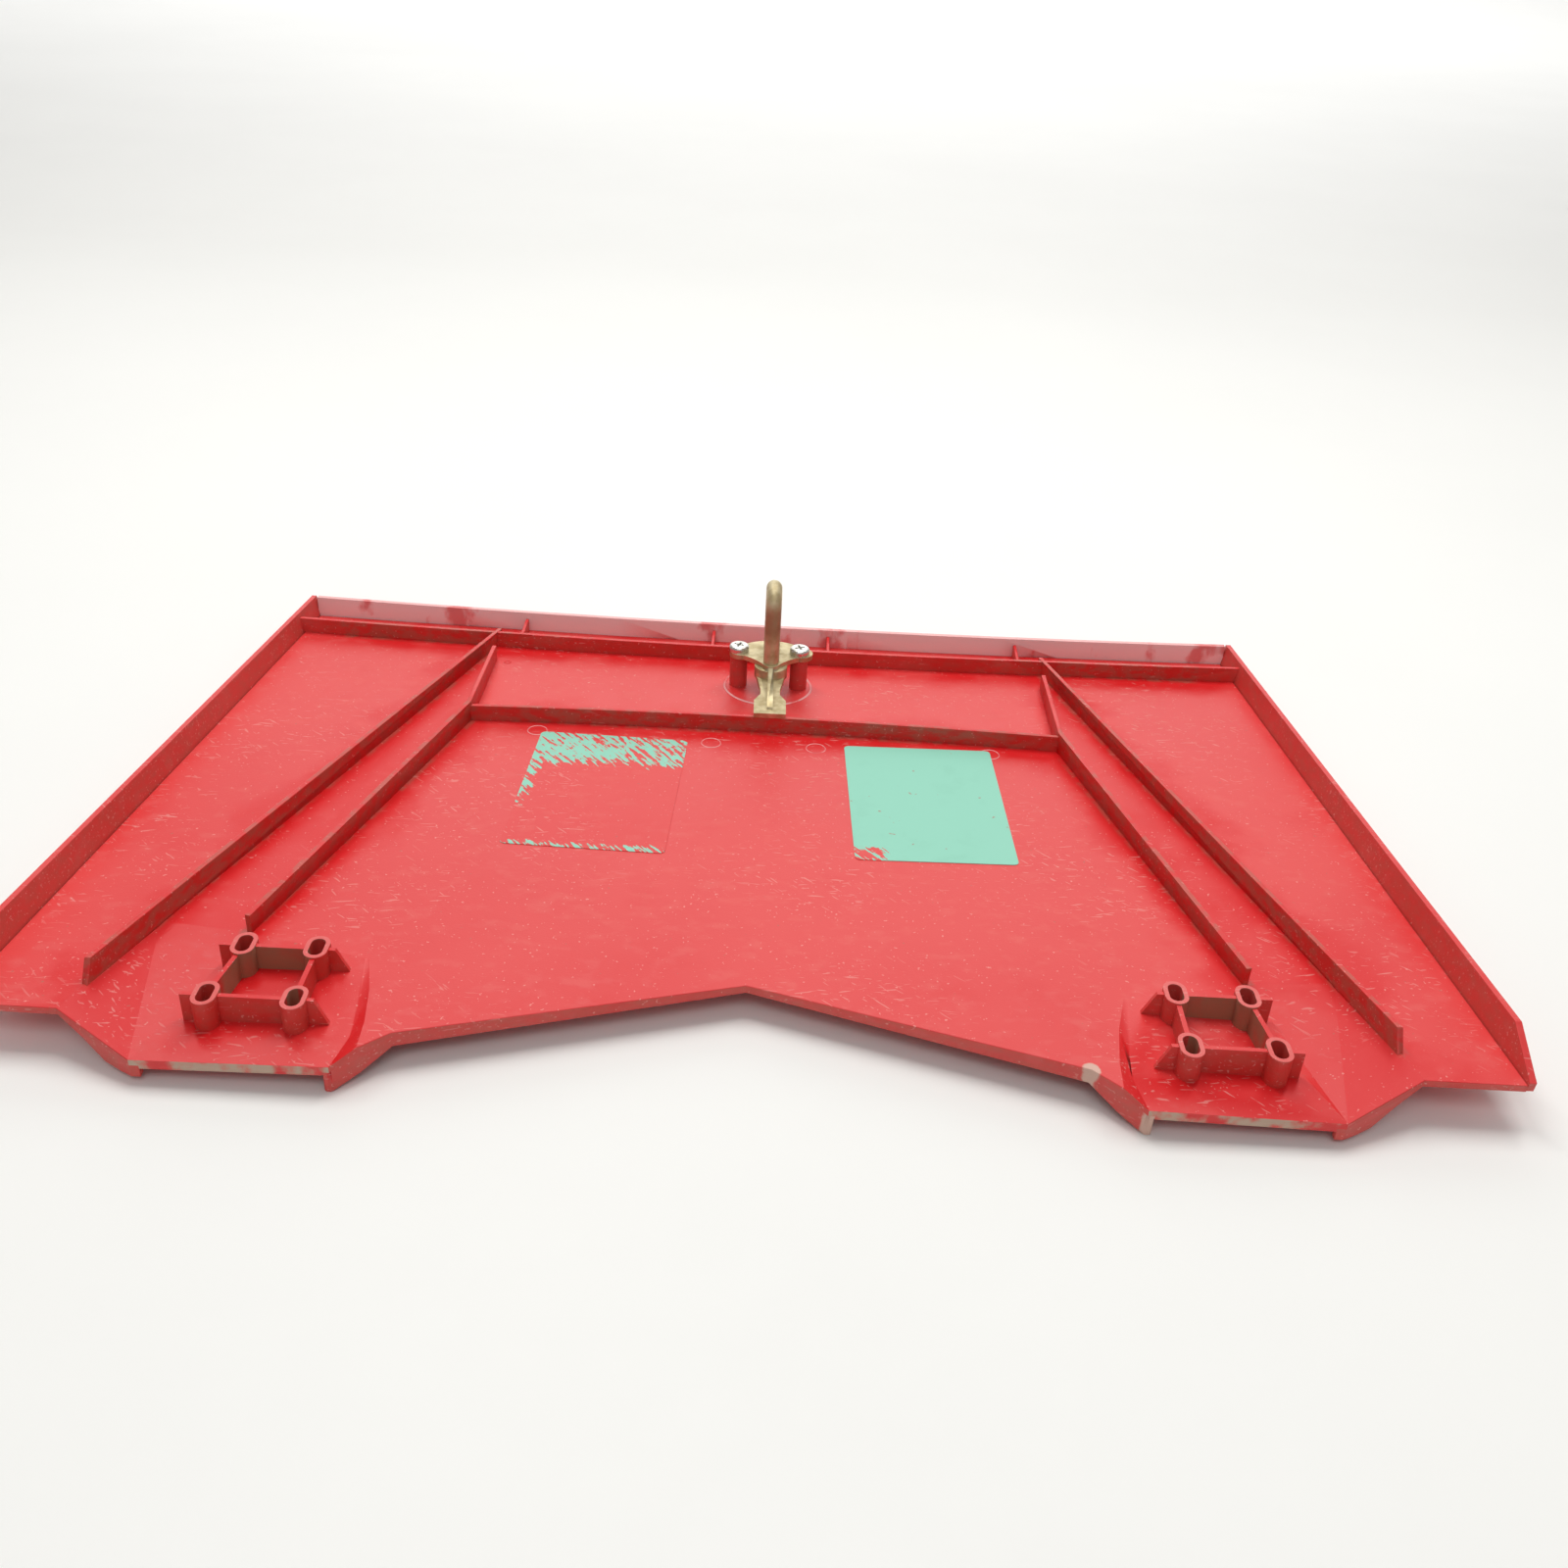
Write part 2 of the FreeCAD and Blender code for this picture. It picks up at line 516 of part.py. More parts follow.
export("panel_centre", panel_centre)
export_pair("panel_wing", wing)
export_pair("slope_facet", facet)
export_pair("hinge_pocket", pocket)
export("front_lip_centre", lip_centre)
export_pair("front_lip", lip_outer)
export_pair("side_wall", side_wall)
export("rear_wall", rear_wall)
export("rear_rib", rear_rib)
export("cross_rib", cross_rib)
export_pair("outer_rib", outer_rib)
export_pair("inner_rib", inner_rib)
export_pair("short_rib", short_rib)
for place, shape in gussets.items():
    export_pair("rear_gusset_" + place, shape)
export_pair("hinge_boss", boss)
export_pair("latch_post", post)
export("striker_bracket", bracket)
export("striker_rod", rod)
export_pair("latch_screw", screw)
for side, place in LABEL_CENTRES.items():
    export("label_" + side, label(*place))
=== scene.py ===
"""A red moulded plastic hood lying on its face, with its ribs, hinge pads and striker upwards.

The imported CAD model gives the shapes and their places. This script rounds the edges, adds the small
moulding marks, gives each piece its material, and sets the camera, floor and lights. Everything is
in metres, with the origin on the floor under the hood's middle.
"""

import math

import bmesh
import bpy
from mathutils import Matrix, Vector
from mathutils.bvhtree import BVHTree


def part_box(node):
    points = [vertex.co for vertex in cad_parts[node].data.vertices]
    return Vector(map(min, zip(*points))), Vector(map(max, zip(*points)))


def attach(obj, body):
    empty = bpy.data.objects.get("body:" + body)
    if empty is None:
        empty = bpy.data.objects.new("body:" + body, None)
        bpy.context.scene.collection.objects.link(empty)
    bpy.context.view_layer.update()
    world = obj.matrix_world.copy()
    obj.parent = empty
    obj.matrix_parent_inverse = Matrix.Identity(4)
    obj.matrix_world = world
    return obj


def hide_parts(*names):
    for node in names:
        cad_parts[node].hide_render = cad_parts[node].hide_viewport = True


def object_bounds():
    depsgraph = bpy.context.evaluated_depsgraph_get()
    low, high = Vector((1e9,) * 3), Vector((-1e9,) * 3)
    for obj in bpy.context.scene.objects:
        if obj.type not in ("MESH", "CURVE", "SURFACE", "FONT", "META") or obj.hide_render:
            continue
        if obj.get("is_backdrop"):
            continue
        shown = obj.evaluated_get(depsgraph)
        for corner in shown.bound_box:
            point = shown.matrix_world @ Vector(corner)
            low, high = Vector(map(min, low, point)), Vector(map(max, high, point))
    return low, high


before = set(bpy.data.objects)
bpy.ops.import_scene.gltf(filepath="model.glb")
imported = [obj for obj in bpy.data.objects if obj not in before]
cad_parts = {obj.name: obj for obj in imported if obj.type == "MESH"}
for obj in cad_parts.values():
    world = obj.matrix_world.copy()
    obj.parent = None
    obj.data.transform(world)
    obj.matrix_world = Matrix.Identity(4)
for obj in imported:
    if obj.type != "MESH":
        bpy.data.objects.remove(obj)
cad_low, cad_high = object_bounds()

MM = 0.001

LABELS = ("label_left", "label_right")
YELLOW = ("striker_bracket", "striker_rod")
SCREWS = ("latch_screw_left", "latch_screw_right")
RED = tuple(sorted(set(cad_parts) - set(LABELS + YELLOW + SCREWS)))

RED_BODY = (0.72, 0.034, 0.035)
RED_PALE = (0.75, 0.056, 0.055)
RED_DEEP = (0.69, 0.006, 0.009)
SCUFF = (0.80, 0.42, 0.38)
BROWN_DUST = (0.42, 0.125, 0.085)
WELL_DUST = (0.36, 0.19, 0.115)
# The whitish pink of the rear wall's inner face: real dust with a painted glare of the lamps over it.
WALL_DUST_AND_GLARE = (1.0, 0.92, 0.91)
RAW_EDGE = (0.52, 0.36, 0.27)
CHIP = (0.66, 0.47, 0.38)
MINT = (0.29, 0.65, 0.51)
MINT_DIRTY = (0.24, 0.56, 0.43)
PALE_ZINC = (0.66, 0.57, 0.36)
GOLD_ZINC = (0.46, 0.37, 0.20)
# A painted reflection of the red panel and painted shade on the rod's middle heights.
ROD_REFLECTION_BROWN = (0.34, 0.26, 0.15)
BRIGHT_ZINC = (0.78, 0.77, 0.74)
DULL_ZINC = (0.62, 0.60, 0.55)
FLOOR_WHITE = (0.93, 0.93, 0.915)
FLOOR_SHADE = tuple(value * 0.985 for value in FLOOR_WHITE)
WARM_WHITE = (1.0, 0.99, 0.96)
WHITE = (1.0, 1.0, 1.0)
SKY = (1.0, 0.99, 0.97, 1.0)
SKY_STRENGTH = 0.30

# How far the dust along each of these ribs' feet goes to the left and right of the middle.
CROSS_RIB_REACH = 170 * MM
REAR_RIB_REACH = 270 * MM

# The heights between which the striker rod's brown, a painted reflection of the red panel and painted
# shade, starts, and between which it ends.
ROD_REFLECTION_LOW = (40 * MM, 52 * MM)
ROD_REFLECTION_HIGH = (60 * MM, 71 * MM)

# The dust in the open middle of a hinge pad ends between these distances from its centre.
WELL_REACH = (16.8 * MM, 17.6 * MM)

# The chipped corner of the front lip beside the right pocket, and the distances from a chip's
# middle between which its colour ends.
LIP_CHIP = (147.7 * MM, -200.9 * MM)
CHIP_REACH = (2.2 * MM, 3.4 * MM)

# Edges that turn more than SHARP_ANGLE are rounded, each kind of piece by its own width. Edges that
# turn less than FLAT_ANGLE only cut up a flat face, and are taken out.
SHARP_ANGLE = math.radians(32)
FLAT_ANGLE = math.radians(0.1)
SHORTEST_ROUNDED_EDGE = 0.8 * MM
TOUCH_REACH = 0.4 * MM
EDGE_TEST_SHARES = (0.2, 0.5, 0.8)
MERGE_REACH = 0.01 * MM
LIP_ROUNDING = 0.9 * MM
RED_ROUNDING = 0.5 * MM
BRACKET_ROUNDING = 0.35 * MM
ROD_ROUNDING = 0.25 * MM
SCREW_ROUNDING = 0.2 * MM
LABEL_ROUNDING = 0.08 * MM

# Moulding marks. The latch ring and the ejector rings are pale, a painted highlight. Each ring has
# its radius and half the width of its line.
LATCH_RING = (26.5 * MM, 0.9 * MM)
LATCH_RING_ARC = (130.0, 410.0)
EJECTOR_RING = (5.5 * MM, 0.35 * MM)
EJECTOR_PLACES = (
    (-130 * MM, 74 * MM),
    (-30 * MM, 70 * MM),
    (30 * MM, 70 * MM),
    (130 * MM, 74 * MM),
)
PIN_RING = (1.8 * MM, 0.6 * MM)
PIN_PLACE = (-162.6 * MM, 161 * MM)
RING_STEPS = 72
RING_SIDES = 8
RING_FLATNESS = 0.6
RING_MERGE_REACH = 0.005 * MM
ABOVE_THE_PANEL = 100 * MM

CAMERA_PLACE = (0.00836, -0.697, 0.4599)
CAMERA_TURN = (58.106, -2.77, 1.376)
CAMERA_ANGLE = 53.52

# The floor's sweep: flat from its front edge to the bend, then up to the top.
FLOOR_FRONT = -6.0
FLOOR_BEND = 5.0
FLOOR_BEND_RADIUS = 2.0
FLOOR_BEND_STEPS = 12
FLOOR_TOP = 6.0
FLOOR_HALF_WIDTH = 8.0

# Name, place, point aimed at, width, depth, watts and colour of each soft light.
LIGHTS = (
    ("tube_left", (-0.50, 0.60, 2.0), (-0.10, 0.0, 0.0), 0.20, 1.4, 15.5, WARM_WHITE),
    ("tube_right", (0.50, 0.60, 2.0), (0.10, 0.0, 0.0), 0.20, 1.4, 15.5, WARM_WHITE),
    ("back_glow", (0.0, 2.6, 1.5), (0.0, 0.0, 0.0), 2.4, 1.4, 7.0, WHITE),
    ("front_fill", (0.0, -1.5, 2.0), (0.0, 0.1, 0.0), 1.6, 0.8, 9.0, WHITE),
    ("backdrop_wash", (0.0, 3.0, 4.0), (0.0, 7.0, 2.2), 6.0, 1.5, 260.0, WHITE),
)


def middle(node):
    """The centre of a CAD node's box."""
    low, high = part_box(node)
    return (low + high) / 2


class Graph:
    """Short calls that build one shader node tree."""

    # Blender's Mix node has one pair of inputs and one output for each kind of value.
    MIX_FIRST_COLOUR = 6
    MIX_SECOND_COLOUR = 7
    MIX_COLOUR_RESULT = 2

    def __init__(self, material):
        material.use_nodes = True
        self.tree = material.node_tree
        self.shader = self.tree.nodes["Principled BSDF"]
        coordinates = self.tree.nodes.new("ShaderNodeTexCoord")
        self.place = coordinates.outputs["Object"]

    def feed(self, socket, value):
        """Links a socket to another, or gives it a fixed value."""
        if isinstance(value, bpy.types.NodeSocket):
            self.tree.links.new(value, socket)
        elif isinstance(value, tuple) and len(value) == 3 and socket.type == "RGBA":
            socket.default_value = (*value, 1.0)
        else:
            socket.default_value = value

    def math(self, operation, first, second=0.0):
        node = self.tree.nodes.new("ShaderNodeMath")
        node.operation = operation
        self.feed(node.inputs[0], first)
        self.feed(node.inputs[1], second)
        return node.outputs[0]

    def fold(self, operation, values):
        """One value from several, such as the least with MINIMUM."""
        result = values[0]
        for value in values[1:]:
            result = self.math(operation, result, value)
        return result

    def vector(self, operation, first, second=(0.0, 0.0, 0.0)):
        node = self.tree.nodes.new("ShaderNodeVectorMath")
        node.operation = operation
        self.feed(node.inputs[0], first)
        self.feed(node.inputs[1], second)
        return node.outputs["Value" if operation in ("LENGTH", "DOT_PRODUCT") else "Vector"]

    def split(self, vector):
        """The x, y and z of a vector."""
        node = self.tree.nodes.new("ShaderNodeSeparateXYZ")
        self.feed(node.inputs[0], vector)
        return node.outputs

    def plan_from(self, x, y):
        """The shaded point's plan offset from a plan point."""
        flat = self.vector("MULTIPLY", self.place, (1.0, 1.0, 0.0))
        return self.vector("SUBTRACT", flat, (x, y, 0.0))

    def normal(self):
        """The x, y and z of the direction that the shaded face looks in."""
        geometry = self.tree.nodes.new("ShaderNodeNewGeometry")
        return self.split(geometry.outputs["Normal"])

    def standing(self, normal):
        """1 on faces that stand upright, 0 on faces that lie flat."""
        return self.step(self.math("ABSOLUTE", normal[2]), 0.25, 0.55, 1.0, 0.0)

    def noise_at(self, vector, scale, detail):
        """Noise of 0 to 1 read at a vector, with features about 1 / scale long."""
        node = self.tree.nodes.new("ShaderNodeTexNoise")
        self.feed(node.inputs["Vector"], vector)
        node.inputs["Scale"].default_value = scale
        node.inputs["Detail"].default_value = detail
        return node.outputs["Fac"]

    def noise(self, scale, detail, stretch=(1.0, 1.0, 1.0), shift=(0.0, 0.0, 0.0)):
        """Noise read at the shaded point. Its features are longer where stretch is below 1."""
        moved = self.vector("ADD", self.vector("MULTIPLY", self.place, stretch), shift)
        return self.noise_at(moved, scale, detail)

    def step(self, value, start, end, low=0.0, high=1.0):
        """Goes smoothly from low to high while value goes from start to end."""
        node = self.tree.nodes.new("ShaderNodeMapRange")
        node.interpolation_type = "SMOOTHSTEP"
        for socket, number in zip(node.inputs, (value, start, end, low, high)):
            self.feed(socket, number)
        return node.outputs[0]

    def mix(self, share, first, second):
        """The first colour with a share of the second laid over it."""
        node = self.tree.nodes.new("ShaderNodeMix")
        node.data_type = "RGBA"
        self.feed(node.inputs["Factor"], share)
        self.feed(node.inputs[self.MIX_FIRST_COLOUR], first)
        self.feed(node.inputs[self.MIX_SECOND_COLOUR], second)
        return node.outputs[self.MIX_COLOUR_RESULT]

    def bump(self, height, distance, strength):
        node = self.tree.nodes.new("ShaderNodeBump")
        self.feed(node.inputs["Height"], height)
        node.inputs["Distance"].default_value = distance
        node.inputs["Strength"].default_value = strength
        return node.outputs["Normal"]

    def set(self, name, value):
        """Feeds an input of the material's shader."""
        self.feed(self.shader.inputs[name], value)


def near_segment(graph, start, end):
    """Distance in plan from the shaded point to the line from start to end."""
    run = Vector((end[0] - start[0], end[1] - start[1], 0.0))
    offset = graph.plan_from(*start)
    along = graph.vector("DOT_PRODUCT", offset, tuple(run / run.length_squared))
    along = graph.math("MINIMUM", graph.math("MAXIMUM", along, 0.0), 1.0)
    scaled = graph.tree.nodes.new("ShaderNodeVectorMath")
    scaled.operation = "SCALE"
    scaled.inputs[0].default_value = tuple(run)
    graph.feed(scaled.inputs["Scale"], along)
    return graph.vector("LENGTH", graph.vector("SUBTRACT", offset, scaled.outputs[0]))


def nearest(graph, lines):
    """Distance in plan from the shaded point to the nearest of several lines."""
    return graph.fold("MINIMUM", [near_segment(graph, *line) for line in lines])


def rib_lines():
    """Plan lines of the ribs' feet, where the plastic is painted deeper red as shade and dust
    gathers.
    """
    lines = []
    for rib, reach in (("cross_rib", CROSS_RIB_REACH), ("rear_rib", REAR_RIB_REACH)):
        y = middle(rib).y
        lines.append(((-reach, y), (reach, y)))
    for side in ("left", "right"):
        for rib in ("inner_rib_", "outer_rib_"):
            low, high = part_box(rib + side)
            inner, outer = sorted((low.x, high.x), key=abs)
            lines.append(((outer, low.y), (inner, high.y)))
    return lines


def pad_lines():
    """Plan lines in front of and inside each hinge pad, where the plastic is painted deeper red as
    shade.
    """
    inset = 10 * MM
    in_front = 4 * MM
    lines = []
    for side in ("left", "right"):
        low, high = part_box("hinge_boss_" + side)
        for y in (low.y - in_front, (low.y + high.y) / 2):
            lines.append(((low.x + inset, y), (high.x - inset, y)))
    return lines


def scratches(graph, turn, shift):
    """Short fine strokes, nearly all in one direction: turn is its angle from the x axis."""
    rotate = graph.tree.nodes.new("ShaderNodeVectorRotate")
    rotate.rotation_type = "Z_AXIS"
    rotate.inputs["Angle"].default_value = turn
    graph.feed(rotate.inputs["Vector"], graph.place)
    drawn = graph.vector("MULTIPLY", rotate.outputs[0], (0.16, 1.0, 1.0))
    drawn = graph.vector("ADD", drawn, (shift, 7.0, 0.0))
    return graph.step(graph.noise_at(drawn, 620.0, 1.0), 0.69, 0.74)


def scratched(graph):
    """How scratched the shaded point is: three directions of strokes, in broad patches."""
    patch = graph.step(graph.noise(11.0, 2.0, shift=(0.0, 5.0, 2.0)), 0.44, 0.62)
    turns_and_shifts = ((0.05, 1.0), (-0.22, 3.0), (0.75, 5.0))
    strokes = [scratches(graph, turn, shift) for turn, shift in turns_and_shifts]
    return graph.math("MULTIPLY", graph.fold("MAXIMUM", strokes), patch)


def red_at_ribs(graph, colour, blotch, grime):
    """The deeper red round the ribs' feet and the hinge pads, which is painted shade, and the dust
    against the feet.
    """
    foot = nearest(graph, rib_lines())
    pads = graph.math("ADD", nearest(graph, pad_lines()), 6 * MM)
    spread = graph.math("MINIMUM", foot, pads)
    ragged = graph.step(blotch, 0.3, 0.7, -12 * MM, 16 * MM)
    spread = graph.math("ADD", spread, ragged)
    # Painted shade: a deeper red near the ribs' feet and round the pads.
    colour = graph.mix(graph.step(spread, 6 * MM, 28 * MM, 0.85, 0.0), colour, RED_DEEP)
    dust = graph.step(foot, 1.8 * MM, 4.2 * MM, 0.55, 0.0)
    dust = graph.math("MULTIPLY", dust, graph.step(grime, 0.4, 0.6))
    return graph.mix(dust, colour, BROWN_DUST)


def red_by_slope(graph, colour, normal, grime, dusty):
    """The deeper red of faces that slope sideways, which is painted shade, and where dusty, the dust
    on upright faces.
    """
    level = graph.step(graph.math("ABSOLUTE", normal[2]), 0.6, 0.8)
    # Faces that slope sideways are painted deeper red as shade.
    sloping = graph.step(graph.math("ABSOLUTE", normal[0]), 0.09, 0.20, 0.0, 0.65)
    colour = graph.mix(graph.math("MULTIPLY", sloping, level), colour, RED_DEEP)
    if dusty:
        dust = graph.step(grime, 0.30, 0.75, 0.20, 0.48)
        dust = graph.math("MULTIPLY", graph.standing(normal), dust)
        colour = graph.mix(dust, colour, BROWN_DUST)
    return colour


def red_look(graph, pale=0.0, depth=0.0):
    """Colour, roughness and bump height of the worn red plastic.

    pale is the strength of the white residue on faces that look forward, dust with a painted glare
    over it, and depth deepens the red as painted shade.
    """
    # Patches about 170, 40 and 9 mm across, and the finer grime.
    broad = graph.noise(6.0, 4.0)
    blotch = graph.noise(24.0, 5.0, shift=(3.0, 1.0, 0.0))
    cloud = graph.noise(110.0, 5.0, stretch=(0.7, 1.0, 1.0))
    grime = graph.noise(120.0, 4.0, stretch=(1.0, 1.0, 2.0), shift=(4.0, 0.0, 1.0))
    normal = graph.normal()
    scratch = scratched(graph)

    colour = graph.mix(graph.step(broad, 0.38, 0.66), RED_BODY, RED_PALE)
    # depth adds painted shade: a deeper red over the pads, pockets and sloping facets.
    colour = graph.mix(graph.step(blotch, 0.56, 0.78, depth, depth + 0.35), colour, RED_DEEP)
    colour = graph.mix(graph.step(cloud, 0.50, 0.75, 0.0, 0.09), colour, SCUFF)
    colour = red_at_ribs(graph, colour, blotch, grime)
    colour = red_by_slope(graph, colour, normal, grime, dusty=not pale)
    colour = graph.mix(graph.math("MULTIPLY", scratch, 0.38), colour, SCUFF)
    speck = graph.step(graph.noise(600.0, 1.0), 0.70, 0.76, 0.0, 0.45)
    colour = graph.mix(speck, colour, SCUFF)
    dark_speck = graph.noise(340.0, 2.0, shift=(9.0, 9.0, 0.0))
    colour = graph.mix(graph.step(dark_speck, 0.73, 0.79, 0.0, 0.55), colour, BROWN_DUST)
    if pale:
        # The whitish residue on faces that look forward is dust with a painted glare over it.
        dust = graph.noise(46.0, 6.0, stretch=(1.0, 1.0, 0.6), shift=(2.0, 2.0, 2.0))
        residue_and_glare = graph.step(dust, 0.36, 0.46, pale * 0.30, pale)
        residue_and_glare = graph.math("MULTIPLY", residue_and_glare, graph.step(normal[1], 0.30, -0.30))
        colour = graph.mix(residue_and_glare, colour, WALL_DUST_AND_GLARE)

    roughness = graph.step(broad, 0.3, 0.7, 0.34, 0.46)
    roughness = graph.math("ADD", roughness, graph.step(cloud, 0.45, 0.75, 0.0, 0.12))
    roughness = graph.math("ADD", roughness, graph.math("MULTIPLY", scratch, 0.15))
    grain = graph.math("MULTIPLY", graph.noise(1400.0, 2.0), 0.5)
    height = graph.math("SUBTRACT", grain, graph.math("MULTIPLY", scratch, 0.4))
    return colour, roughness, height


def well_dust(graph, colour, wells, grime):
    """Brown dust on the upright faces round the open middle of each hinge pad."""
    distances = []
    for well in wells:
        offset = graph.split(graph.vector("SUBTRACT", graph.place, well))
        sides = [graph.math("ABSOLUTE", offset[axis]) for axis in (0, 1)]
        distances.append(graph.fold("MAXIMUM", sides))
    inside = graph.step(graph.fold("MINIMUM", distances), *WELL_REACH, 1.0, 0.0)
    dust = graph.math("MULTIPLY", graph.standing(graph.normal()), inside)
    dust = graph.math("MULTIPLY", dust, graph.step(grime, 0.25, 0.60, 0.55, 0.90))
    return graph.mix(dust, colour, WELL_DUST)


def red_material(name, pale=0.0, depth=0.0, wells=(), rim=None, raw_front=False, chips=()):
    """The worn red plastic of one kind of piece.

    wells are points with brown dust round them, rim is the height of a top edge that is made paler,
    raw_front gives faces that look forward a cut tan edge, and chips are plan points with a
    tan chip.
    """
    material = bpy.data.materials.new(name)
    graph = Graph(material)
    colour, roughness, height = red_look(graph, pale, depth)
    grime = graph.noise(90.0, 5.0, shift=(4.0, 0.0, 1.0))
    if wells:
        colour = well_dust(graph, colour, wells, grime)
    if rim is not None:
        up = graph.split(graph.place)[2]
        paler_top_edge = graph.step(up, rim - 0.8 * MM, rim - 0.1 * MM, 0.0, 0.22)
        colour = graph.mix(paler_top_edge, colour, SCUFF)
    if raw_front:
        front = graph.step(graph.normal()[1], -0.94, -0.985, 0.0, 1.0)
        worn = graph.mix(graph.step(grime, 0.42, 0.60), RAW_EDGE, RED_BODY)
        colour = graph.mix(front, colour, worn)
    for chip in chips:
        reach = graph.vector("LENGTH", graph.plan_from(*chip))
        ragged = graph.step(grime, 0.3, 0.7, -1.5 * MM, 1.5 * MM)
        reach = graph.math("ADD", reach, ragged)
        colour = graph.mix(graph.step(reach, *CHIP_REACH, 0.85, 0.0), colour, CHIP)
    graph.set("Base Color", colour)
    graph.set("Roughness", roughness)
    graph.set("Normal", graph.bump(height, 0.2 * MM, 0.5))
    graph.set("Specular IOR Level", 0.42)
    return material


def metal_material(name, bright, tint, roughness, metallic, dark=0.0):
    """Plated steel: two plating tones that run into each other, with fine pits.

    dark is the strength of the brown, a painted reflection and shade, between the two pairs of
    heights set for the rod at the top.
    """
    material = bpy.data.materials.new(name)
    graph = Graph(material)
    colour = graph.mix(graph.step(graph.noise(140.0, 4.0), 0.35, 0.68), bright, tint)
    if dark:
        up = graph.split(graph.place)[2]
        rise = graph.step(up, *ROD_REFLECTION_LOW)
        fall = graph.step(up, *ROD_REFLECTION_HIGH, 1.0, 0.0)
        share = graph.math("MULTIPLY", graph.math("MULTIPLY", rise, fall), dark)
        colour = graph.mix(share, colour, ROD_REFLECTION_BROWN)
    dulled = graph.step(graph.noise(300.0, 3.0), 0.3, 0.7, roughness - 0.06, roughness + 0.10)
    graph.set("Base Color", colour)
    graph.set("Metallic", metallic)
    graph.set("Roughness", dulled)
    graph.set("Normal", graph.bump(graph.noise(1500.0, 2.0), 0.1 * MM, 0.35))
    return material


def slanting_streaks(graph, across, along):
    """Noise drawn out along a slant over the label."""
    slant = graph.math("ADD", graph.math("MULTIPLY", across, 0.9), along)
    combine = graph.tree.nodes.new("ShaderNodeCombineXYZ")
    lengthways = graph.math("MULTIPLY", graph.math("SUBTRACT", across, along), 1.5)
    graph.feed(combine.inputs[0], lengthways)
    graph.feed(combine.inputs[1], graph.math("MULTIPLY", slant, 11.0))
    return graph.noise_at(combine.outputs[0], 1.6, 5.0)


def scraps_kept(graph, across, along):
    """Where the paper holds on a label that is mostly gone: its top, left side and foot."""
    top = graph.step(along, 0.22, 0.58, 0.20, 0.55)
    lean = graph.step(across, -0.9, 0.9, 0.03, -0.03)
    left = graph.step(across, -0.55, -0.90)
    left = graph.math("MULTIPLY", left, graph.step(along, -0.70, -0.1, 0.0, 0.52))
    foot = graph.step(along, -0.80, -0.95, 0.0, 0.50)
    return graph.fold("MAXIMUM", [graph.math("ADD", top, lean), left, foot])


def corner_lost(graph, across, along):
    """Where the paper holds on a label that has lost only its left front corner."""
    corner = graph.step(across, -0.25, -0.70)
    corner = graph.math("MULTIPLY", corner, graph.step(along, -0.66, -0.88))
    return graph.math("SUBTRACT", 0.90, graph.math("MULTIPLY", corner, 0.46))


def label_material(name, centre, size, kept_where):
    """Mint paper, rubbed off in slanting streaks that show the red plastic under it.

    kept_where says how well the paper holds at each part of the label.
    """
    material = bpy.data.materials.new(name)
    graph = Graph(material)
    red, red_roughness, red_height = red_look(graph)
    offset = graph.split(graph.vector("SUBTRACT", graph.place, (centre.x, centre.y, 0.0)))
    across = graph.math("DIVIDE", offset[0], size.x / 2)
    along = graph.math("DIVIDE", offset[1], size.y / 2)

    frayed = graph.step(graph.noise(260.0, 4.0), 0.3, 0.7, -0.06, 0.06)
    held = graph.math("ADD", slanting_streaks(graph, across, along), frayed)
    held = graph.math("ADD", held, kept_where(graph, across, along))
    paper = graph.step(graph.math("SUBTRACT", held, 1.0), -0.02, 0.03)

    soil = graph.step(graph.noise(60.0, 5.0), 0.50, 0.78, 0.0, 0.35)
    mint = graph.mix(soil, MINT, MINT_DIRTY)
    speck = graph.noise(230.0, 1.0, shift=(6.0, 6.0, 6.0))
    mint = graph.mix(graph.step(speck, 0.76, 0.80, 0.0, 0.7), mint, BROWN_DUST)
    rougher = graph.math("MULTIPLY", graph.math("SUBTRACT", 0.62, red_roughness), paper)
    raised = graph.math("MULTIPLY", paper, 0.8)
    height = graph.math("ADD", raised, graph.math("MULTIPLY", red_height, 0.3))
    graph.set("Base Color", graph.mix(paper, red, mint))
    graph.set("Roughness", graph.math("ADD", rougher, red_roughness))
    graph.set("Normal", graph.bump(height, 0.25 * MM, 0.5))
    graph.set("Specular IOR Level", 0.35)
    return material


def add_object(name, data):
    """A new object in the scene that shows this mesh, camera or light."""
    thing = bpy.data.objects.new(name, data)
    bpy.context.scene.collection.objects.link(thing)
    return thing


def add_rows(shape, rows):
    """Adds rows of points to a shape, with faces from each row to the next."""
    grid = [[shape.verts.new(point) for point in row] for row in rows]
    for first, second in zip(grid, grid[1:]):
        for side in range(len(first) - 1):
            shape.faces.new((first[side], first[side + 1], second[side + 1], second[side]))


def smooth_mesh(name, shape, material):
    """A smooth-shaded mesh made from a shape, which is used up."""
    mesh = bpy.data.meshes.new(name)
    shape.to_mesh(mesh)
    shape.free()
    mesh.shade_smooth()
    mesh.materials.append(material)
    return mesh


def surface_tree(name):
    """A search tree of a CAD node's surface."""
    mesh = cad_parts[name].data
    corners = [vertex.co.copy() for vertex in mesh.vertices]
    return BVHTree.FromPolygons(corners, [tuple(face.vertices) for face in mesh.polygons])


TREES = {name: surface_tree(name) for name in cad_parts}


def touches_other(point, name):
    """Whether another red node's surface passes a point within TOUCH_REACH."""
    for other in RED:
        if other == name:
            continue
        if TREES[other].find_nearest(point, TOUCH_REACH)[0] is not None:
            return True
    return False


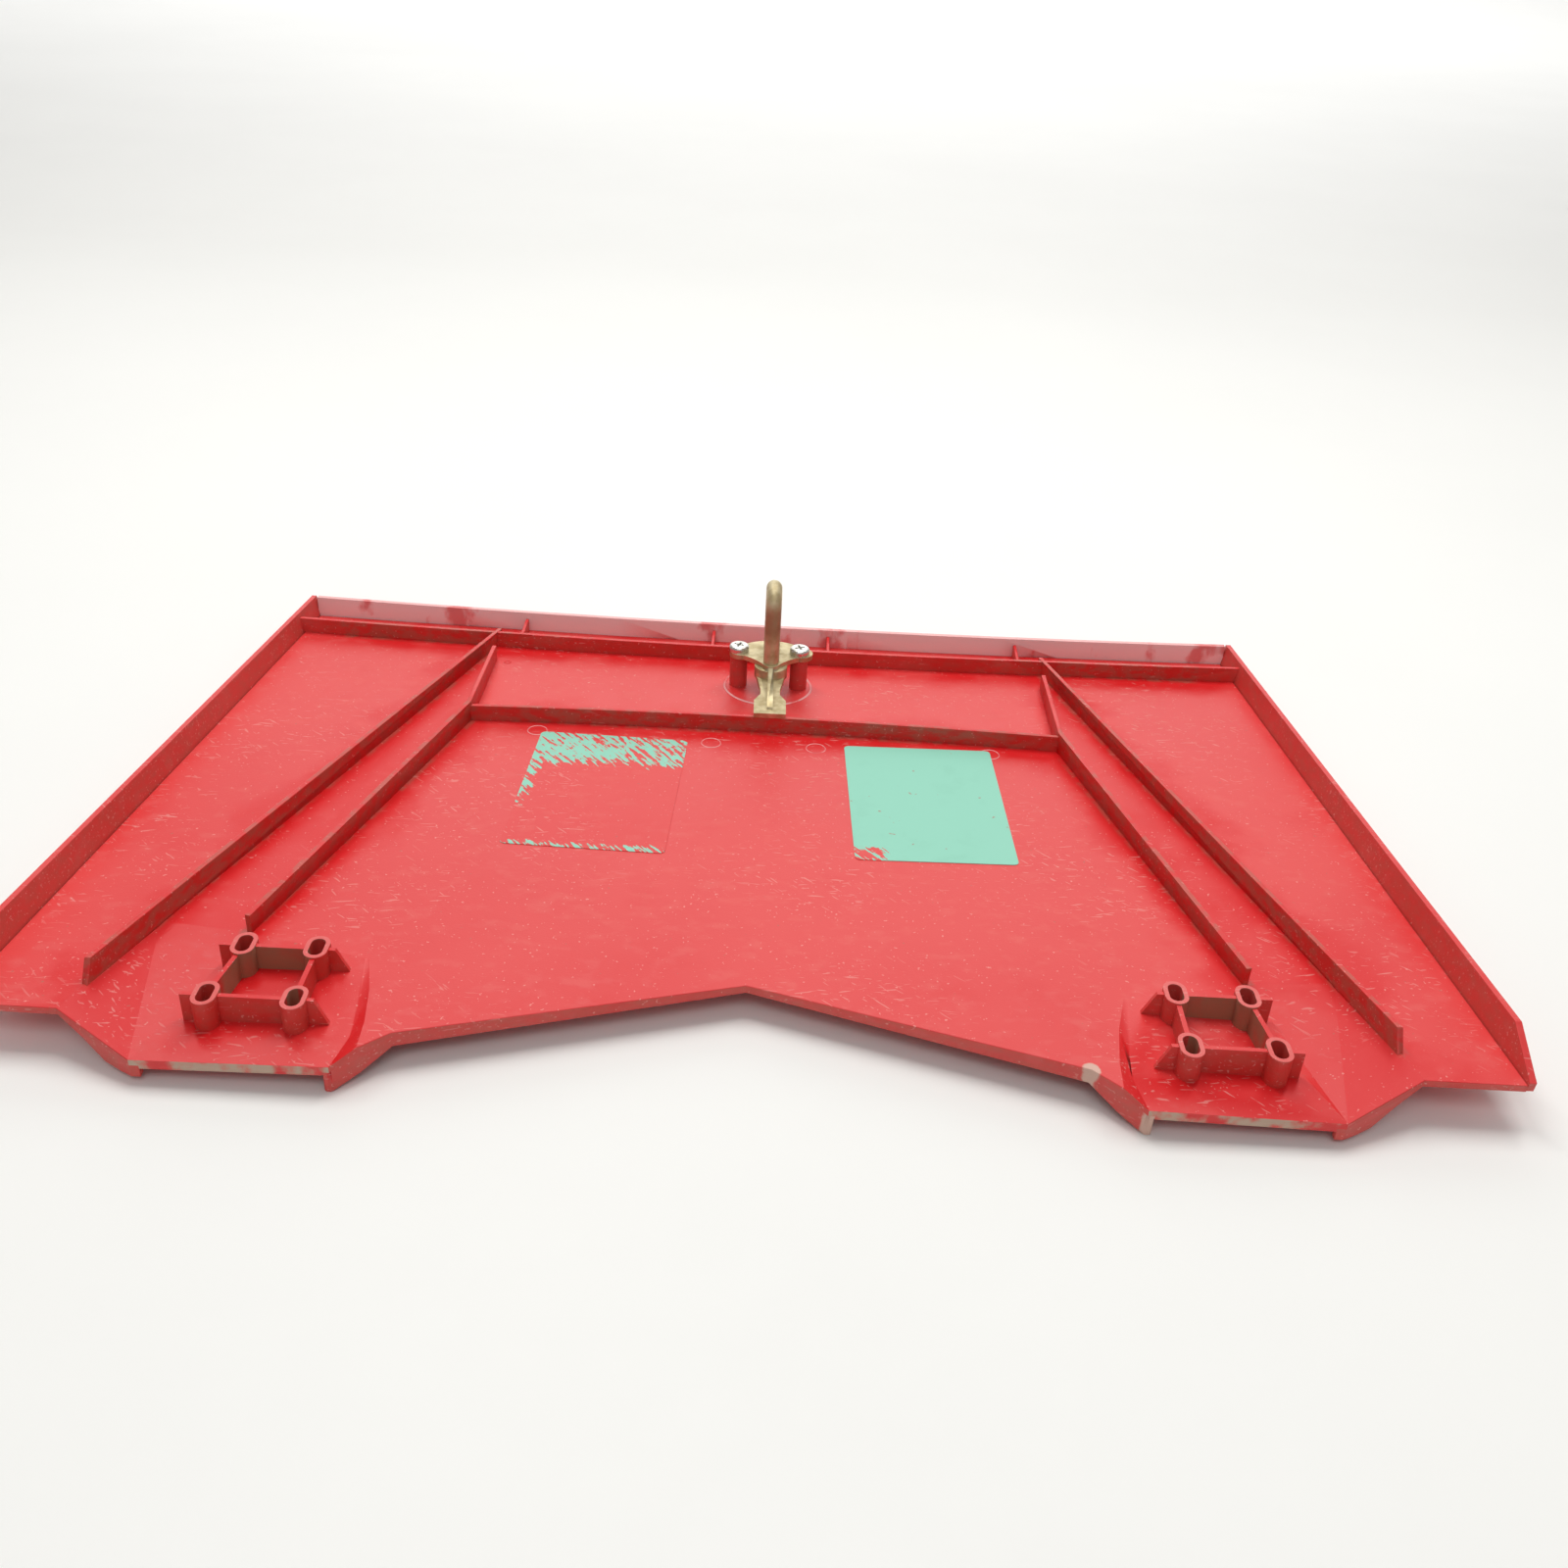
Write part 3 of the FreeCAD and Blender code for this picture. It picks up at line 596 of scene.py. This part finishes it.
def is_rounded(edge, name):
    """Whether an edge is long, sharp and free, so not where red nodes meet."""
    if len(edge.link_faces) != 2 or edge.calc_length() < SHORTEST_ROUNDED_EDGE:
        return False
    if edge.calc_face_angle(0.0) < SHARP_ANGLE:
        return False
    start, end = [vertex.co for vertex in edge.verts]
    tests = [start.lerp(end, share) for share in EDGE_TEST_SHARES]
    return name not in RED or not any(touches_other(point, name) for point in tests)


def dress(name, material, radius):
    """Stands a copy of a CAD node in for it, with rounded free edges and its material."""
    piece = add_object(name + "_finish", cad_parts[name].data.copy())
    mesh = piece.data
    mesh.materials.clear()
    mesh.materials.append(material)
    shape = bmesh.new()
    shape.from_mesh(mesh)
    bmesh.ops.remove_doubles(shape, verts=shape.verts, dist=MERGE_REACH)
    bmesh.ops.dissolve_limit(shape, angle_limit=FLAT_ANGLE, verts=[], edges=shape.edges)
    weights = shape.edges.layers.float.new("bevel_weight_edge")
    for edge in shape.edges:
        if is_rounded(edge, name):
            edge[weights] = 1.0
    shape.to_mesh(mesh)
    shape.free()
    mesh.shade_smooth()
    mesh.set_sharp_from_angle(angle=SHARP_ANGLE)
    bevel = piece.modifiers.new("rounded edges", "BEVEL")
    bevel.limit_method = "WEIGHT"
    bevel.width = radius
    bevel.segments = 2
    bevel.use_clamp_overlap = True
    bevel.harden_normals = True
    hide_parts(name)
    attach(piece, "root")


def panel_height(x, y):
    """Height of the centre panel's upper face over a plan point."""
    start = Vector((x, y, ABOVE_THE_PANEL))
    return TREES["panel_centre"].ray_cast(start, Vector((0, 0, -1)))[0].z


def ring(name, centre, size, material, arc=(0.0, 360.0)):
    """A thin raised moulding line that follows the panel round an arc, given in degrees."""
    radius, half_width = size
    start, end = arc
    rows = []
    for step in range(RING_STEPS + 1):
        angle = math.radians(start + (end - start) * step / RING_STEPS)
        outward = Vector((math.cos(angle), math.sin(angle), 0))
        base = Vector((*centre, 0)) + outward * radius
        base.z = panel_height(base.x, base.y)
        row = []
        for side in range(RING_SIDES + 1):
            around = math.pi * side / RING_SIDES
            out = outward * math.cos(around) * half_width
            up = Vector((0, 0, math.sin(around) * half_width * RING_FLATNESS))
            row.append(base + out + up)
        rows.append(row)
    shape = bmesh.new()
    add_rows(shape, rows)
    bmesh.ops.remove_doubles(shape, verts=shape.verts, dist=RING_MERGE_REACH)
    bmesh.ops.recalc_face_normals(shape, faces=shape.faces)
    piece = add_object(name, smooth_mesh(name, shape, material))
    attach(piece, "root")


wells = [tuple(middle("hinge_boss_" + side)) for side in ("left", "right")]
boss_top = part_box("hinge_boss_left")[1].z
lip_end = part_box("front_lip_centre")[1].x
chips = (LIP_CHIP, (lip_end - 1 * MM, cad_low.y))

plastic = red_material("red_plastic", chips=chips)
# The rear wall's inner face is paler: dust and a painted glare.
plastic_wall = red_material("red_plastic_wall_dust_and_glare", pale=0.92)
# The paler rings round the latch posts and ejector pins are a painted highlight.
plastic_mark_highlighted = red_material("red_plastic_mark_painted_highlight", pale=0.45)
# The pad, pocket and facet materials are deeper red by depth, which is painted shade.
plastic_pad = red_material("red_plastic_pad", depth=0.15, wells=wells, rim=boss_top)
plastic_pocket = red_material("red_plastic_pocket", depth=0.35, raw_front=True)
plastic_facet = red_material("red_plastic_facet", depth=0.55)

RED_FINISHES = (
    ("rear_wall", plastic_wall),
    ("hinge_boss", plastic_pad),
    ("hinge_pocket", plastic_pocket),
    ("slope_facet", plastic_facet),
)
for node in RED:
    finish = plastic
    for start_of_name, special in RED_FINISHES:
        if node.startswith(start_of_name):
            finish = special
    rounding = LIP_ROUNDING if node.startswith("front_lip") else RED_ROUNDING
    dress(node, finish, rounding)

bracket_metal = metal_material("yellow_zinc_bracket", PALE_ZINC, GOLD_ZINC, 0.46, 0.75)
# The rod's brown band is a painted reflection of the red panel and painted shade.
rod_metal = metal_material("yellow_zinc_rod", PALE_ZINC, GOLD_ZINC, 0.50, 0.55, dark=0.85)
screw_metal = metal_material("zinc_screw", BRIGHT_ZINC, DULL_ZINC, 0.28, 0.9)
dress("striker_bracket", bracket_metal, BRACKET_ROUNDING)
dress("striker_rod", rod_metal, ROD_ROUNDING)
for node in SCREWS:
    dress(node, screw_metal, SCREW_ROUNDING)

for node, kept_where in zip(LABELS, (scraps_kept, corner_lost)):
    low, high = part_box(node)
    paper = label_material(node + "_paper", middle(node), high - low, kept_where)
    dress(node, paper, LABEL_ROUNDING)

latch_centre = (0.0, middle("latch_post_left").y)
ring("ring_mark", latch_centre, LATCH_RING, plastic_mark_highlighted, LATCH_RING_ARC)
for count, ejector_place in enumerate(EJECTOR_PLACES):
    ring("ejector_mark_%d" % count, ejector_place, EJECTOR_RING, plastic_mark_highlighted)
ring("pin_mark", PIN_PLACE, PIN_RING, plastic_facet)


def add_camera():
    """The camera at the photograph's viewing angle."""
    data = bpy.data.cameras.new("camera")
    data.sensor_width = 36.0
    data.angle = math.radians(CAMERA_ANGLE)
    data.clip_start = 0.01
    data.clip_end = 60.0
    camera = add_object("camera", data)
    camera.location = CAMERA_PLACE
    camera.rotation_euler = tuple(math.radians(turn) for turn in CAMERA_TURN)
    bpy.context.scene.camera = camera


def add_area(name, place, aim, width, depth, watts, colour):
    """A soft rectangular light at place, turned to aim."""
    data = bpy.data.lights.new(name, "AREA")
    data.shape = "RECTANGLE"
    data.size = width
    data.size_y = depth
    data.energy = watts
    data.color = colour
    light = add_object(name, data)
    light.location = place
    light.rotation_euler = (Vector(aim) - Vector(place)).to_track_quat("-Z", "Y").to_euler()


def add_floor():
    """A pale matte sweep: a floor that curves up far behind the object."""
    material = bpy.data.materials.new("floor_paper")
    graph = Graph(material)
    soft = graph.step(graph.noise(3.0, 3.0), 0.3, 0.7)
    graph.set("Base Color", graph.mix(soft, FLOOR_WHITE, FLOOR_SHADE))
    graph.set("Roughness", graph.step(graph.noise(40.0, 3.0), 0.3, 0.7, 0.75, 0.85))
    profile = [(FLOOR_FRONT, 0.0), (FLOOR_BEND, 0.0)]
    for step in range(1, FLOOR_BEND_STEPS + 1):
        angle = math.pi / 2 * step / FLOOR_BEND_STEPS
        back = FLOOR_BEND + FLOOR_BEND_RADIUS * math.sin(angle)
        profile.append((back, FLOOR_BEND_RADIUS * (1 - math.cos(angle))))
    profile.append((FLOOR_BEND + FLOOR_BEND_RADIUS, FLOOR_TOP))
    edges = (-FLOOR_HALF_WIDTH, FLOOR_HALF_WIDTH)
    shape = bmesh.new()
    add_rows(shape, [[(x, y, z) for x in edges] for y, z in profile])
    add_object("floor", smooth_mesh("floor", shape, material))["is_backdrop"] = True


def add_world():
    """Even white light from all round."""
    world = bpy.data.worlds.new("studio")
    bpy.context.scene.world = world
    world.use_nodes = True
    background = world.node_tree.nodes["Background"]
    background.inputs["Color"].default_value = SKY
    background.inputs["Strength"].default_value = SKY_STRENGTH


# The Standard view keeps the reds as strong as they are set here, which the default one does not.
bpy.context.scene.view_settings.view_transform = "Standard"
add_camera()
add_floor()
add_world()
for light in LIGHTS:
    add_area(*light)

low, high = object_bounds()
